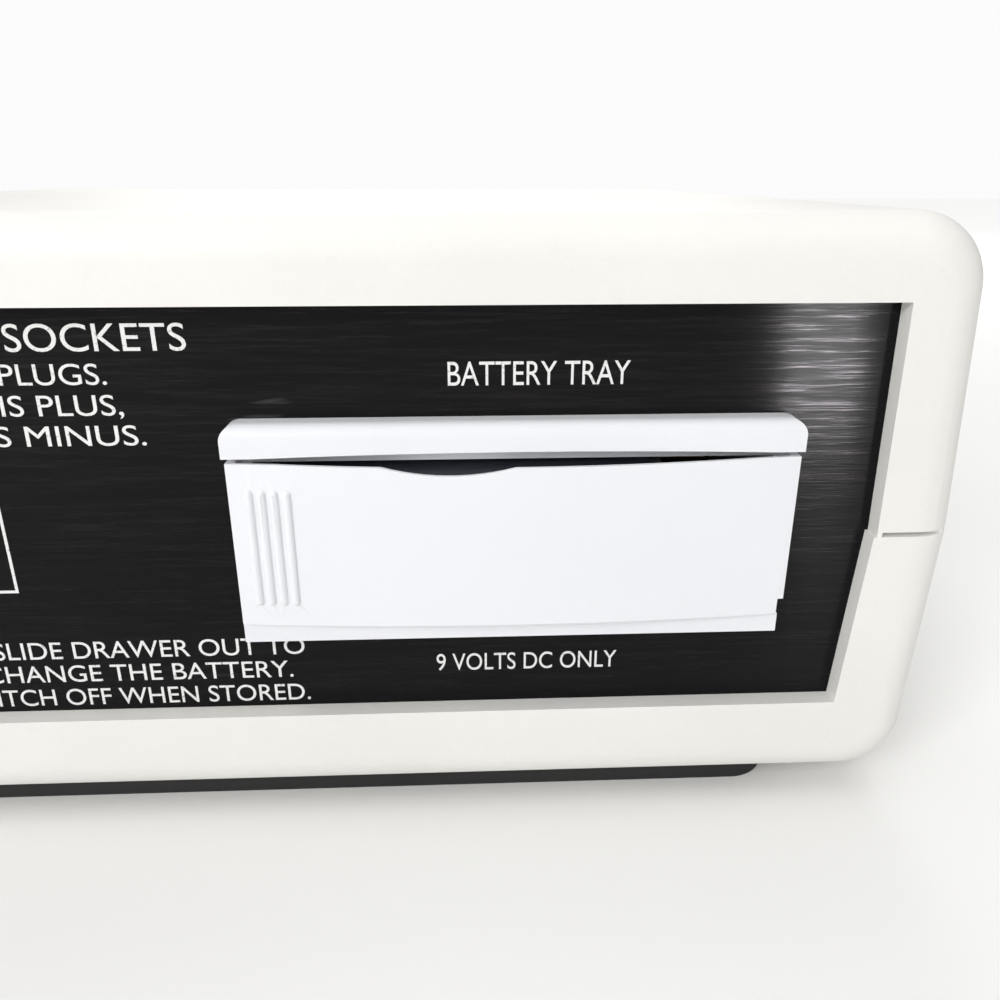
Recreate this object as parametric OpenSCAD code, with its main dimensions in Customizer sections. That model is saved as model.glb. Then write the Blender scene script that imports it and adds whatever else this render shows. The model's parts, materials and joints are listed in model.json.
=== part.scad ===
// Bench-top nerve stimulator: two moulded shells, a control panel at the front,
// and a rear panel with electrode sockets and a slide-out drawer for a 9 V battery.
// X runs across the case, +Y points out of the rear panel, Z is up from the feet.
// Panel parts are drawn in a panel frame: x to the right, y up, z outward, z = 0 on the panel's face.

/* [Case] */
// Width of the case at the joint between the shells
case_w = 175; // [172:1:230]
// Depth of the case from front rim to rear rim
case_d = 160; // [150:1:220]
// Height of the lower shell
lower_h = 35; // [33:0.5:45]
// Height of the upper shell
upper_h = 37; // [33:0.5:45]
// Corner radius of the case, seen from its end
corner_r = 8.5; // [7:0.5:12]
// Rounding of the rims
edge_r = 5; // [3:0.5:6]
// How much each side leans in from the joint to the top or the bottom
draft = 1.2; // [0.5:0.1:2]
// Wall thickness of the shells
wall = 2.5; // [2:0.1:3.5]
// Height of the shadow gap at the joint
joint_gap = 0.6; // [0.3:0.1:1]
// Height of the rubber strips under the case
foot_h = 4; // [3:0.5:8]

/* [Panels] */
// Width of the rim beside each panel
rim_side = 10.3; // [9:0.1:13]
// Height of the rim under each panel
rim_bottom = 11.9; // [10:0.1:14]
// Height of the rim above each panel
rim_top = 9.4; // [8:0.1:12]
// How far each panel sits behind the rim
recess = 2.5; // [1.5:0.1:4]
// Thickness of the panels
panel_t = 2; // [1.5:0.1:3]
// How far each panel reaches into its groove
panel_grip = 2.2; // [1.5:0.1:3]

/* [Battery drawer] */
// Distance from the case side to the middle of the drawer
drawer_inset = 53.5; // [48:0.5:60]
// Width of the drawer front
front_w = 65; // [64.5:0.5:68]
// Height of the drawer front
front_h = 20.1; // [19.8:0.1:24]
// Thickness of the drawer front at its ends
front_t = 2; // [1.5:0.1:3]
// How far the middle of the drawer front bulges out
crown = 1.5; // [0.5:0.1:2.5]
// How far the drawer slides out
drawer_travel = 28; // [20:1:28]

/* [Battery] */
// Length of the battery's jacket
battery_l = 45.7; // [44:0.1:46]
// Width of the battery
battery_w = 26.5; // [25.5:0.1:26.5]
// Thickness of the battery
battery_t = 17.5; // [16.5:0.1:17.5]
// Distance between the two snap terminals
snap_pitch = 12.7; // [12.5:0.1:13]

/* [Electrode sockets] */
// Bore of the sockets, for a 4 mm plug
socket_bore = 4; // [3.9:0.05:4.2]
// Distance between the two sockets
socket_pitch = 19; // [17:0.5:24]
// Distance from the case side to the middle of the socket pair
socket_inset = 41.7; // [38:0.1:50]

/* [Controls] */
// Diameter of the intensity knob's skirt
big_knob_d = 30; // [26:1:32]
// Diameter of the rate and width knobs' skirts
small_knob_d = 20; // [18:1:22]
// Height of the knobs
knob_h = 15; // [13.5:0.5:18]
// Diameter of the control shafts
shaft_d = 6; // [5:0.5:6.4]
// Travel of the push-button
button_travel = 2; // [1:0.5:2.5]
// Angle between the rocker's two positions
rocker_throw = 20; // [12:1:20]
// Angle between the toggle's two positions
toggle_throw = 24; // [16:1:26]

/* [Circuit boards] */
// Width of the main board
board_w = 120; // [110:1:130]
// Depth of the main board
board_d = 84; // [76:1:90]
// Thickness of both boards
board_t = 1.6; // [1:0.1:2]
// Height of the posts under the main board
post_h = 5.5; // [4:0.5:7]

/* [Hidden] */

$fn = 48;
wide_fn = 720; // for arcs that are much wider than they are deep
far = 400; // longer than anything here, for cutters
fit = 0.05; // radial clearance of turning and sliding round fits
snug = 0.15; // clearance of parts that drop into each other
loose = 0.3; // gap that soft or free parts keep

case_z0 = foot_h;
joint_z = case_z0 + lower_h;
case_z1 = joint_z + upper_h;

open_half = case_w / 2 - rim_side;
low_lean = 1.6; // the openings' sides lean in this much below the joint, and less above it
high_lean = 0.4;
open_step = 0.35; // the lower shell's opening is this much narrower than the upper one's
open_z0 = case_z0 + rim_bottom;
open_z1 = case_z1 - rim_top;
open_mid_z = (open_z0 + open_z1) / 2;

face_y = case_d / 2 - recess; // outer face of each panel
back_y = face_y - panel_t; // inner face of each panel
groove_y = back_y - snug;
keeper_t = 1.6; // rib behind each panel
keeper_y = groove_y - keeper_t;
panel_half = open_half + panel_grip;
panel_z0 = open_z0 - panel_grip;
panel_z1 = open_z1 + panel_grip;

boss_x = case_w / 2 - 11;
boss_y = case_d / 2 - 18;
boss_r = 4.6;
web_short = 4; // the bosses' ribs stop this far from the joint
screw_r = 1.5;
screw_l = 20;
screw_head_r = 2.85;
screw_head_h = 2.2;
screw_well_r = 3.3;
screw_seat_z = joint_z - 12; // underside of the clamped part of each lower boss

strip_half = case_w / 2 - 17;
strip_w = 11;
strip_sink = 1;
strip_y = case_d / 2 - edge_r - 0.6 - strip_w / 2;

// ---- places on the rear panel ----
drawer_x = -(case_w / 2 - drawer_inset);
drawer_z = joint_z + 0.45;
socket_x = case_w / 2 - socket_inset;
socket_z = joint_z + 2.2;

// drawer housing, in the rear panel's frame
flange_t = 1;
box_wall = 1.5;
mouth_w = 60;
mouth_h = battery_t + 1.7;
tray_side = 1.2;
tray_floor = 0.8;
tray_w = mouth_w - 2 * loose;
rail_end = 30.7; // how far the tray's floor and rail reach behind the panel's face
box_depth = rail_end + 0.5;
battery_front = 0.7; // from the panel's face to the battery's long side, outward
tray_back = battery_w - battery_front + 0.2;
tray_v0 = -mouth_h / 2 + 0.2;
battery_v0 = tray_v0 + tray_floor + fit;
battery_u0 = -tray_w / 2 + tray_side + 0.2;
battery_u1 = battery_u0 + battery_l;
snap_w0 = battery_front - battery_w / 2 - snap_pitch / 2;
snap_h = 2.9;
front_z0 = flange_t + 0.1;
header_gap = 0.6;
header_h = 3.75;
header_w = front_w + 0.6;
header_out = 3.3;
sill_gap = 0.25;
sill_h = 2.45;
sill_out = 2.6;
nib_len = 2;
nib_h = 3;
slot_clear = 0.2;
thumb_u = -7.4; // middle of the thumbnail scoop
thumb_w = 14.5;
thumb_depth = 0.9;
top_sag = 0.45; // how far the drawer front's top edge dips in the middle
contact_r = 5.8;
contact_t = 0.35;
contact_h = 5;
contact_gap = 0.2;
tag_out = 3.4;

// ---- places on the front panel, from its right-hand end ----
button_x = open_half - 10;
width_x = button_x - 24;
rate_x = width_x - 24;
intensity_x = rate_x - 34;
toggle_x = intensity_x - 32;
rocker_x = toggle_x - 17.5;
low_row = -6;
high_row = 13;

cap_proud = 0.1; // how far each knob's cap stands out of it
shaft_r = shaft_d / 2;
bush_r = 3.5;
bush_out = 5;
pot_r = 8.2;
pot_depth = 8.5;
nut_t = 2;
control_board_z = -panel_t - pot_depth - 0.9 - board_t;
pin_r = 0.45;
led_r = 2.5;
led_leg_x = 1.27;

board_y = -8;
board_z = case_z0 + wall + post_h;
board_top = board_z + board_t;
post_r = 3;
post_inset = 4;
board_screw_r = 1.25;

// moves the case so that the whole object's box, knobs and drawer front included, is centred on the origin
case_y = (knob_h + cap_proud - front_z0 - front_t - crown) / 2;

shell_colour = [0.93, 0.92, 0.87];
drawer_colour = [0.94, 0.95, 0.97];
black = [0.06, 0.06, 0.06];
steel = [0.75, 0.75, 0.76];
brass = [0.8, 0.65, 0.3];
board_green = [0.1, 0.4, 0.2];

// ---- frames ----
module on_front(x, y) {
    translate([x, -face_y, open_mid_z + y]) rotate([90, 0, 0]) children();
}

module on_rear(x, z) {
    translate([x, face_y, z]) rotate([90, 0, 180]) children();
}

module in_drawer_frame() {
    on_rear(drawer_x, drawer_z) children();
}

module placed() {
    translate([0, case_y, 0]) children();
}

// ---- shared shapes ----
module block(x0, x1, y0, y1, z0, z1) {
    translate([x0, y0, z0]) cube([x1 - x0, y1 - y0, z1 - z0]);
}

module disc(r, z0, z1) {
    translate([0, 0, z0]) cylinder(r = r, h = z1 - z0);
}

module rounded_rect(w, h, r) {
    square([w - 2 * r, h], center = true);
    square([w, h - 2 * r], center = true);
    for (x = [-1, 1], y = [-1, 1])
        translate([x * (w / 2 - r), y * (h / 2 - r)]) circle(r = r);
}

module hex_nut(across, t, bore_r) {
    difference() {
        cylinder(r = across / sqrt(3), h = t, $fn = 6);
        disc(bore_r, -1, t + 1);
    }
}

// radius of the arc that rises by sagitta over half a chord
function arc_r(half_chord, sagitta) = (half_chord * half_chord + sagitta * sagitta) / (2 * sagitta);

function slot_x(i, n, pitch) = (i - (n - 1) / 2) * pitch;

// ---- wires: a round tube swept along a smooth curve through hand-picked points ----
function hermite(a, b, c, d, t) =
    0.5 * (2 * b + (c - a) * t + (2 * a - 5 * b + 4 * c - d) * t * t + (3 * b - a - 3 * c + d) * t * t * t);

function smooth(p, steps) = concat([
    for (i = [0 : len(p) - 2], s = [0 : steps - 1])
        hermite(p[max(i - 1, 0)], p[i], p[i + 1], p[min(i + 2, len(p) - 1)], s / steps)
], [p[len(p) - 1]]);

function unit(v) = v / norm(v);

function along(c, i) = unit(c[min(i + 1, len(c) - 1)] - c[max(i - 1, 0)]);

// each ring's side direction is the last one's, squared up to the curve, so the tube never twists
function carried(c, side, i = 0) =
    i == len(c) ? [] :
    let (t = along(c, i), s = unit(side - (side * t) * t))
    concat([s], carried(c, s, i + 1));

module tube(points, r, side, sides = 8, steps = 4) {
    c = smooth(points, steps);
    s = carried(c, side);
    rings = len(c);
    vertices = [
        for (i = [0 : rings - 1], k = [0 : sides - 1])
            let (a = 360 * k / sides) c[i] + r * (cos(a) * s[i] + sin(a) * cross(along(c, i), s[i]))
    ];
    faces = concat(
        [[for (k = [sides - 1 : -1 : 0]) k]],
        [for (i = [0 : rings - 2], k = [0 : sides - 1]) let (n = (k + 1) % sides, b = i * sides)
            [b + k, b + n, b + sides + n, b + sides + k]],
        [[for (k = [0 : sides - 1]) (rings - 1) * sides + k]]
    );
    polyhedron(vertices, [for (f = faces) [for (j = [len(f) - 1 : -1 : 0]) f[j]]], convexity = 8);
}

// ---- case ----
module rim_corner(x, y, z) {
    translate([x, y, z]) rotate([90, 0, 0])
        rotate_extrude($fn = 64) intersection() {
            translate([corner_r - edge_r, 0]) circle(r = edge_r, $fn = 32);
            translate([0, -edge_r]) square([corner_r, 2 * edge_r]);
        }
}

module case_body() {
    hull() for (sx = [-1, 1], sy = [-1, 1]) {
        for (z = [case_z0 + corner_r, case_z1 - corner_r])
            rim_corner(sx * (case_w / 2 - draft - corner_r), sy * (case_d / 2 - edge_r), z);
        translate([sx * (case_w / 2 - edge_r), sy * (case_d / 2 - edge_r), joint_z])
            sphere(r = edge_r, $fn = 32);
    }
}

module case_cavity() {
    inner_h = lower_h + upper_h - 2 * wall;
    inner_w = case_w - 2 * draft - 2 * wall;
    translate([0, keeper_y, (case_z0 + case_z1) / 2]) rotate([90, 0, 0])
        linear_extrude(2 * keeper_y) rounded_rect(inner_w, inner_h, corner_r - wall);
}

module below_joint() {
    block(-far, far, -far, far, -far, joint_z);
}

module above_joint() {
    block(-far, far, -far, far, joint_z, far);
}

// the opening's outline: widest at the joint, leaning in towards the top and the bottom
module opening_outline(half) {
    polygon([
        [-half + low_lean, open_z0], [half - low_lean, open_z0], [half, joint_z],
        [half - high_lean, open_z1], [-half + high_lean, open_z1], [-half, joint_z]
    ]);
}

module openings(half) {
    translate([0, far, 0]) rotate([90, 0, 0]) linear_extrude(2 * far) opening_outline(half);
}

module panel_grooves() {
    for (side = [0, 180]) rotate([0, 0, side])
        block(-panel_half - snug, panel_half + snug, groove_y, face_y, panel_z0 - snug, panel_z1 + snug);
}

module at_bosses() {
    for (x = [-1, 1], y = [-1, 1]) translate([x * boss_x, y * boss_y, 0]) children();
}

// ribs that tie the screw bosses to the side walls
module boss_webs(z0, z1) {
    web_half = 0.8;
    web_x = case_w / 2 - draft - wall / 2;
    for (x = [-1, 1], y = [-1, 1])
        block(min(x * boss_x, x * web_x), max(x * boss_x, x * web_x),
            y * boss_y - web_half, y * boss_y + web_half, z0, z1);
}

module at_posts() {
    for (x = [-1, 1], y = [-1, 1])
        translate([x * (board_w / 2 - post_inset), board_y + y * (board_d / 2 - post_inset), 0])
            children();
}

module strip_outline(grow) {
    end_r = strip_w / 2 + grow;
    square([2 * (strip_half - strip_w / 2), 2 * end_r], center = true);
    for (x = [-1, 1]) translate([x * (strip_half - strip_w / 2), 0]) circle(r = end_r);
}

module lower_shell() {
    color(shell_colour) difference() {
        union() {
            difference() {
                intersection() {
                    case_body();
                    below_joint();
                }
                case_cavity();
            }
            at_bosses() disc(boss_r, case_z0 + wall / 2, joint_z);
            boss_webs(case_z0 + corner_r, joint_z - web_short);
            at_posts() disc(post_r, case_z0 + wall / 2, board_z);
        }
        openings(open_half - open_step);
        panel_grooves();
        at_bosses() {
            disc(screw_well_r, 0, screw_seat_z);
            disc(screw_r + snug, 0, joint_z + 1);
        }
        at_posts() disc(board_screw_r + fit, case_z0 + wall, board_z + 1);
        for (y = [-1, 1]) translate([0, y * strip_y, case_z0 - 1])
            linear_extrude(1 + strip_sink) strip_outline(snug);
    }
}

// the joint's shadow gap runs round the outside and stops short of the openings
module shadow_gap() {
    gap_depth = 1.2;
    gap_stop = 0.6;
    difference() {
        block(-far, far, -far, far, joint_z - 1, joint_z + joint_gap);
        block(-case_w / 2 + gap_depth, case_w / 2 - gap_depth,
            -case_d / 2 + gap_depth, case_d / 2 - gap_depth, joint_z - 2, far);
        block(-open_half - gap_stop, open_half + gap_stop, -far, far, joint_z - 2, far);
    }
}

module upper_shell() {
    color(shell_colour) difference() {
        union() {
            difference() {
                intersection() {
                    case_body();
                    above_joint();
                }
                case_cavity();
            }
            at_bosses() disc(boss_r, joint_z, case_z1 - wall / 2);
            boss_webs(joint_z + web_short, case_z1 - corner_r);
        }
        openings(open_half);
        panel_grooves();
        at_bosses() disc(screw_r + fit, joint_z - 1, screw_seat_z + screw_l + 2);
        shadow_gap();
    }
}

module case_screws() {
    color(steel) at_bosses() difference() {
        union() {
            disc(screw_head_r, screw_seat_z - screw_head_h, screw_seat_z);
            disc(screw_r, screw_seat_z - 0.1, screw_seat_z + screw_l);
        }
        for (a = [0, 90]) rotate([0, 0, a])
            block(-1.6, 1.6, -0.35, 0.35, -far, screw_seat_z - screw_head_h + 1.2);
    }
}

module foot_strip(side) {
    color([0.08, 0.08, 0.08]) translate([0, side * strip_y, 0]) difference() {
        linear_extrude(foot_h + strip_sink) strip_outline(0);
        for (i = [0 : 2]) translate([0, slot_x(i, 3, 3), 0])
            block(-strip_half + strip_w / 2, strip_half - strip_w / 2, -0.5, 0.5, -1, 0.8);
    }
}

// ---- panels ----
module panel_plate() {
    block(-panel_half, panel_half, panel_z0 - open_mid_z, panel_z1 - open_mid_z, -panel_t, 0);
}

module rear_panel() {
    hole_u = mouth_w / 2 + box_wall + snug;
    hole_v = mouth_h / 2 + box_wall + snug;
    color(black) difference() {
        on_rear(0, open_mid_z) panel_plate();
        in_drawer_frame() block(-hole_u, hole_u, -hole_v, hole_v, -panel_t - 1, 1);
        at_jacks() disc(jack_r + snug, -panel_t - 1, 1);
    }
}

module front_panel() {
    color(black) difference() {
        on_front(0, 0) panel_plate();
        for (x = [intensity_x, rate_x, width_x]) on_front(x, 0) disc(bush_r + snug, -panel_t - 1, 1);
        on_front(rocker_x, 0) block(-switch_w / 2 - snug, switch_w / 2 + snug,
            -switch_h / 2 - snug, switch_h / 2 + snug, -panel_t - 1, 1);
        on_front(button_x, low_row) disc(button_body_r + snug, -panel_t - 1, 1);
        on_front(toggle_x, low_row) disc(toggle_bush_r + snug, -panel_t - 1, 1);
        for (x = [toggle_x, button_x]) on_front(x, high_row) disc(led_sleeve_r + snug, -panel_t - 1, 1);
    }
}

// ---- battery drawer ----
// the rounded bar above the drawer front, and the plain one below it
module header_bar() {
    v0 = front_h / 2 + header_gap;
    v1 = v0 + header_h;
    end_r = 1.8;
    nose_r = 1.6;
    arch = 0.45;
    arch_r = arc_r(front_w / 2 - 3, arch);
    difference() {
        intersection() {
            union() {
                block(-header_w / 2, header_w / 2, v0, v1 - end_r, 0, header_out);
                block(-header_w / 2 + end_r, header_w / 2 - end_r, v0, v1, 0, header_out);
                for (x = [-1, 1])
                    translate([x * (header_w / 2 - end_r), v1 - end_r, 0]) disc(end_r, 0, header_out);
            }
            union() {
                block(-far, far, v0 - 1, v1 + 1, -1, header_out - nose_r);
                block(-far, far, v0 - 1, v1 - nose_r, -1, header_out);
                translate([-far, v1 - nose_r, header_out - nose_r])
                    rotate([0, 90, 0]) cylinder(r = nose_r, h = 2 * far);
            }
        }
        translate([0, v0 + arch - arch_r, flange_t]) cylinder(r = arch_r, h = far, $fn = wide_fn);
        translate([thumb_u - thumb_w / 2, v0 - 4.6, header_out + 2.2])
            rotate([0, 90, 0]) cylinder(r = 5.4, h = thumb_w);
    }
}

module sill_bar() {
    v1 = -front_h / 2 - sill_gap;
    block(-front_w / 2 - 0.1, front_w / 2 - 0.3, v1 - sill_h, v1, 0, sill_out);
}

module drawer_housing() {
    outer_u = mouth_w / 2 + box_wall;
    outer_v = mouth_h / 2 + box_wall;
    lip = 0.9; // how far the flange and the snap lugs stand out beside the box
    flange_v = max(outer_v, front_h / 2 + 1); // reaches the bars above and below the drawer front
    slot_v = nib_h / 2 + slot_clear;
    tag_v = contact_h / 2 + snug;
    color(drawer_colour) in_drawer_frame() {
        difference() {
            union() {
                block(-outer_u, outer_u, -outer_v, outer_v, -box_depth - box_wall, flange_t);
                block(-outer_u - lip, outer_u + lip, -flange_v, flange_v, 0, flange_t);
                for (u = [-20, 20])
                    block(u - 4, u + 4, -outer_v - lip, outer_v + lip, -panel_t - 2.6, -panel_t - 0.1);
            }
            block(-mouth_w / 2, mouth_w / 2, -mouth_h / 2, mouth_h / 2, -box_depth, far);
            block(-outer_u - 1, -mouth_w / 2 + 1, -slot_v, slot_v,
                -rail_end - slot_clear, -rail_end + nib_len + drawer_travel + slot_clear);
            at_contacts() block(mouth_w / 2 - 1, outer_u + 1, -tag_v, tag_v,
                -contact_r - 0.1, -contact_r + contact_t + 0.1);
        }
        header_bar();
        sill_bar();
    }
}

// a crowned plate, hollowed behind its top edge so that only a thin lip stands below the header bar
module front_plate() {
    lip_t = 0.5;
    lip_h = 2.6;
    front_z1 = front_z0 + front_t + crown;
    face_r = arc_r(front_w / 2, crown);
    dip_r = arc_r(front_w / 2 - 4, top_sag);
    scoop_r = arc_r(thumb_w / 2, thumb_depth);
    v1 = front_h / 2;
    difference() {
        intersection() {
            block(-front_w / 2, front_w / 2, -v1, v1, front_z0, front_z1);
            translate([0, v1 + 1, front_z1 - face_r])
                rotate([90, 0, 0]) cylinder(r = face_r, h = front_h + 2, $fn = wide_fn);
        }
        translate([0, v1 - top_sag + dip_r, 0]) cylinder(r = dip_r, h = far, $fn = wide_fn);
        translate([thumb_u, v1 - top_sag - thumb_depth + scoop_r, 0])
            cylinder(r = scoop_r, h = far, $fn = wide_fn);
        intersection() {
            translate([0, v1 + 1, front_z1 - face_r])
                rotate([90, 0, 0]) cylinder(r = face_r - lip_t, h = front_h, $fn = wide_fn);
            block(1 - front_w / 2, front_w / 2 - 1, v1 - lip_h, v1 + 1, front_z0 - 1, front_z1);
        }
        block(front_w / 2 - 0.7, far, -far, -v1 + 2, 0, far);
    }
}

// round-backed ribs with domed ends
module grip_ribs() {
    rib_r = 0.48;
    rib_pitch = 1.43;
    rib_sink = 0.05; // of the ribs' centre lines, below the crowned face
    rib_v0 = -7.4 + rib_r;
    rib_v1 = 7 - rib_r;
    face_r = arc_r(front_w / 2, crown);
    for (i = [0 : 3]) {
        u = -front_w / 2 + 2.35 + i * rib_pitch;
        drop = face_r - sqrt(face_r * face_r - u * u);
        translate([u, rib_v0, front_z0 + front_t + crown - drop - rib_sink]) {
            rotate([-90, 0, 0]) cylinder(r = rib_r, h = rib_v1 - rib_v0, $fn = 24);
            sphere(r = rib_r, $fn = 24);
            translate([0, rib_v1 - rib_v0, 0]) sphere(r = rib_r, $fn = 24);
        }
    }
}

module battery_drawer() {
    wall_v1 = 4;
    u0 = -tray_w / 2;
    fence_u = battery_u1 + 0.2;
    back_z = -tray_back - tray_side;
    root_z = front_z0 + 0.5;
    color(drawer_colour) in_drawer_frame() {
        front_plate();
        grip_ribs();
        block(u0, -u0, tray_v0, tray_v0 + tray_floor, -rail_end, root_z);
        block(u0, u0 + tray_side, tray_v0, wall_v1, -rail_end, root_z);
        block(u0, fence_u + tray_side, tray_v0, wall_v1, back_z, -tray_back);
        block(u0 - tray_side, u0, -nib_h / 2, nib_h / 2, -rail_end, -rail_end + nib_len);
        for (z = [[back_z, -tray_back + 2], [front_z0 - 3, root_z]])
            block(fence_u, fence_u + tray_side, tray_v0, wall_v1, z[0], z[1]);
    }
}

// spring contacts: a bow that bears on the snap, and a leg out through the housing's end wall
module at_contacts() {
    for (i = [0, 1]) translate([0, battery_v0 + battery_t / 2, snap_w0 + i * snap_pitch]) children();
}

module battery_contacts() {
    bow_u = battery_u1 + snap_h + contact_gap + contact_r;
    tag_u = mouth_w / 2 + box_wall + tag_out;
    color(brass) in_drawer_frame() at_contacts() {
        difference() {
            translate([bow_u, contact_h / 2, 0]) rotate([90, 0, 0]) difference() {
                cylinder(r = contact_r, h = contact_h);
                disc(contact_r - contact_t, -1, contact_h + 1);
            }
            block(bow_u, far, -far, far, -far, far);
        }
        block(bow_u, tag_u, -contact_h / 2, contact_h / 2, -contact_r, -contact_r + contact_t);
    }
}

module battery_jacket() {
    color([0.1, 0.11, 0.13]) in_drawer_frame()
        translate([battery_u0 + 1, battery_v0 + battery_t / 2, battery_front - battery_w / 2])
        rotate([90, 0, 90]) linear_extrude(battery_l - 2) rounded_rect(battery_t, battery_w, 2.5);
}

module battery_end_plates() {
    color([0.15, 0.15, 0.16]) in_drawer_frame() for (u = [battery_u0, battery_u1 - 1])
        translate([u, battery_v0 + battery_t / 2, battery_front - battery_w / 2])
        rotate([90, 0, 90]) linear_extrude(1) rounded_rect(battery_t - 0.6, battery_w - 0.6, 2.2);
}

module battery_snaps() {
    color(steel) in_drawer_frame() {
        at_snap(0) {
            disc(2.9, 0, snap_h);
            disc(3.6, 0, 0.6);
        }
        at_snap(1) difference() {
            cylinder(r = 4.3, h = snap_h, $fn = 6);
            disc(3.1, 0.8, snap_h + 1);
        }
    }
}

module at_snap(i) {
    translate([battery_u1, battery_v0 + battery_t / 2, snap_w0 + i * snap_pitch])
        rotate([0, 90, 0]) children();
}

// ---- electrode sockets ----
jack_r = 5.6;
jack_flange_r = 6.9;
jack_flange_t = 2.4;
jack_depth = 24;
jack_mouth_r = 4.3;
jack_tube_r = 3.1;
jack_tube_len = 18;
jack_wall = 4; // closed end of the insulating sleeve

module at_jacks() {
    for (i = [0, 1]) at_jack(i) children();
}

module at_jack(i) {
    on_rear(socket_x + slot_x(i, 2, socket_pitch), socket_z) children();
}

module jack_sleeve() {
    difference() {
        union() {
            disc(jack_flange_r, 0, jack_flange_t);
            disc(jack_r, -jack_depth, jack_flange_t);
        }
        disc(jack_mouth_r, -jack_depth + jack_wall, jack_flange_t + 1);
        disc(jack_tube_r - 1.1 + fit, -jack_depth - 1, 0);
    }
}

module output_jack_red() {
    color([0.7, 0.08, 0.06]) at_jack(0) jack_sleeve();
}

module output_jack_black() {
    color(black) at_jack(1) jack_sleeve();
}

module jack_sockets() {
    floor_z = -jack_depth + jack_wall;
    color(brass) at_jacks() difference() {
        union() {
            disc(jack_tube_r, floor_z, floor_z + jack_tube_len);
            disc(jack_tube_r - 1.1, -jack_depth - 3, floor_z + 0.1);
        }
        disc(socket_bore / 2, floor_z + 1.5, far);
        block(-0.6, 0.6, -far, far, -jack_depth - 4, -jack_depth - 0.5);
    }
}

module jack_nuts() {
    color(steel) at_jacks() translate([0, 0, -panel_t - 3]) hex_nut(14, 3, jack_r + fit);
}

// ---- rotary controls ----
module pot() {
    cavity_r = 6.8;
    difference() {
        union() {
            disc(pot_r, -panel_t - pot_depth, -panel_t);
            disc(bush_r, -panel_t - 0.5, bush_out);
            for (i = [0 : 2]) translate([slot_x(i, 3, 4), -5, 0])
                disc(pin_r, control_board_z - 0.6, -panel_t - pot_depth + 0.5);
        }
        disc(cavity_r, -panel_t - pot_depth + 1.2, -panel_t - 1.2);
        disc(shaft_r + fit, -panel_t - 2, bush_out + 1);
    }
}

module pot_shaft() {
    top = knob_h - 2;
    difference() {
        union() {
            disc(shaft_r, -panel_t - 4, top);
            disc(5, -panel_t - 4.5, -panel_t - 3);
        }
        block(-far, far, shaft_r - 1.5, far, bush_out + 0.4, top + 1);
    }
}

module knob(d, grooves) {
    skirt_r = d / 2;
    body_r = skirt_r - 2.2;
    top_r = body_r - 0.8;
    bottom = 1;
    cap_r = top_r - 2;
    difference() {
        rotate_extrude() polygon([
            [0, bottom], [skirt_r - 0.5, bottom], [skirt_r, bottom + 0.5], [skirt_r, bottom + 1.4],
            [skirt_r - 0.5, bottom + 1.9], [body_r, bottom + 2.6],
            [top_r, knob_h - 0.8], [top_r - 0.8, knob_h],
            [0, knob_h]
        ]);
        for (i = [0 : grooves - 1]) rotate([0, 0, i * 360 / grooves])
            translate([body_r + 0.35, 0, bottom + 2.7]) cylinder(r = 0.75, h = far, $fn = 16);
        disc(cap_r + fit, knob_h - 0.7, knob_h + 1);
        difference() {
            disc(top_r - 0.8, bottom - 1, knob_h - 4);
            disc(shaft_r + 2, bush_out + 0.6, knob_h);
        }
        difference() {
            disc(shaft_r + 0.02, bottom - 1, knob_h - 2 + 0.2);
            block(-far, far, shaft_r - 1.45, far, bush_out, knob_h);
        }
    }
}

module knob_cap(d) {
    cap_r = d / 2 - 5;
    disc(cap_r, knob_h - 0.7, knob_h + cap_proud);
}

module intensity_pot() { color(steel) on_front(intensity_x, 0) pot(); }
module rate_pot() { color(steel) on_front(rate_x, 0) pot(); }
module width_pot() { color(steel) on_front(width_x, 0) pot(); }
module intensity_shaft() { color(steel) on_front(intensity_x, 0) pot_shaft(); }
module rate_shaft() { color(steel) on_front(rate_x, 0) pot_shaft(); }
module width_shaft() { color(steel) on_front(width_x, 0) pot_shaft(); }
module intensity_knob() { color(black) on_front(intensity_x, 0) knob(big_knob_d, 24); }
module rate_knob() { color(black) on_front(rate_x, 0) knob(small_knob_d, 16); }
module width_knob() { color(black) on_front(width_x, 0) knob(small_knob_d, 16); }
module intensity_knob_cap() { color(steel) on_front(intensity_x, 0) knob_cap(big_knob_d); }
module rate_knob_cap() { color(steel) on_front(rate_x, 0) knob_cap(small_knob_d); }
module width_knob_cap() { color(steel) on_front(width_x, 0) knob_cap(small_knob_d); }

module pot_nuts() {
    color(steel) for (x = [intensity_x, rate_x, width_x]) on_front(x, 0) hex_nut(10, nut_t, bush_r + fit);
}

// ---- power switch ----
switch_w = 13;
switch_h = 19;
switch_bezel = 2;
switch_depth = 13;
rocker_w = 9.6;
rocker_half = 7.6;
rocker_pivot = -2; // depth of the pivot behind the panel's face
pivot_r = 1;

module power_switch_body() {
    color(black) on_front(rocker_x, 0) difference() {
        union() {
            block(-switch_w / 2 - 1, switch_w / 2 + 1, -switch_h / 2 - 1, switch_h / 2 + 1, 0, switch_bezel);
            block(-switch_w / 2, switch_w / 2, -switch_h / 2, switch_h / 2, -switch_depth, 0.1);
        }
        block(-rocker_w / 2 - loose, rocker_w / 2 + loose,
            -rocker_half - 1, rocker_half + 1, -switch_depth + 4, far);
        translate([-switch_w / 2 + 0.4, 0, rocker_pivot]) rotate([0, 90, 0])
            cylinder(r = pivot_r + fit, h = switch_w - 0.8);
        for (y = [-4, 4]) block(-2.5, 2.5, y - 0.5, y + 0.5, -switch_depth - 1, -switch_depth + 5);
    }
}

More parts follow.
